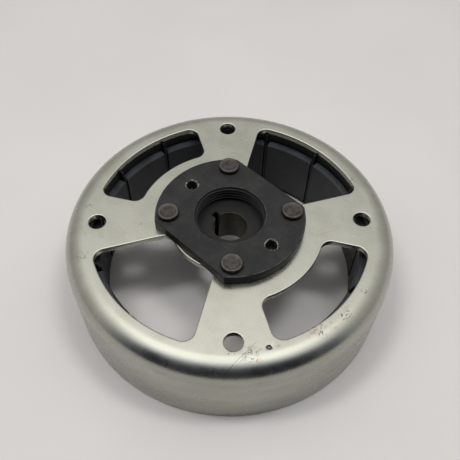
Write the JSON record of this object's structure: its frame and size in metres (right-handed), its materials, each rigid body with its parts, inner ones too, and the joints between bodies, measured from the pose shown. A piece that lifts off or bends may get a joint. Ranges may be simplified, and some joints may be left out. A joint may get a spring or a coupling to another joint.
{
  "type": "flywheel",
  "caption": "Outer-rotor flywheel: pressed steel cup with windows in its closed face, a riveted hub with puller thread and tapered bore, and a ring of magnets inside.",
  "frame": {"origin": "on the spin axis, in the plane of the cup's open rim", "axes": "+Z along the spin axis from the open rim to the closed face and the hub; the two short windows and the keyway lie along the line at 135 degrees from +X, the two deep windows at 45 and 225 degrees, and two of the four rivets on the X axis"},
  "size_m": [0.1254, 0.1254, 0.0406],
  "materials": {
    "zinc_plate": "satin",
    "black_oxide": "satin",
    "rivet_steel": "satin",
    "ferrite": "matte",
    "carrier_plastic": "matte"
  },
  "bodies": {
    "root": {"rotor_cup": "zinc_plate", "hub": "black_oxide", "rivet_1": "rivet_steel", "rivet_2": "rivet_steel", "rivet_3": "rivet_steel", "rivet_4": "rivet_steel", "magnet_carrier": "carrier_plastic", "magnet_01": "ferrite", "magnet_02": "ferrite", "magnet_03": "ferrite", "magnet_04": "ferrite", "magnet_05": "ferrite", "magnet_06": "ferrite", "magnet_07": "ferrite", "magnet_08": "ferrite", "magnet_09": "ferrite", "magnet_10": "ferrite", "magnet_11": "ferrite", "magnet_12": "ferrite", "magnet_13": "ferrite", "magnet_14": "ferrite"}
  },
  "joints": []
}
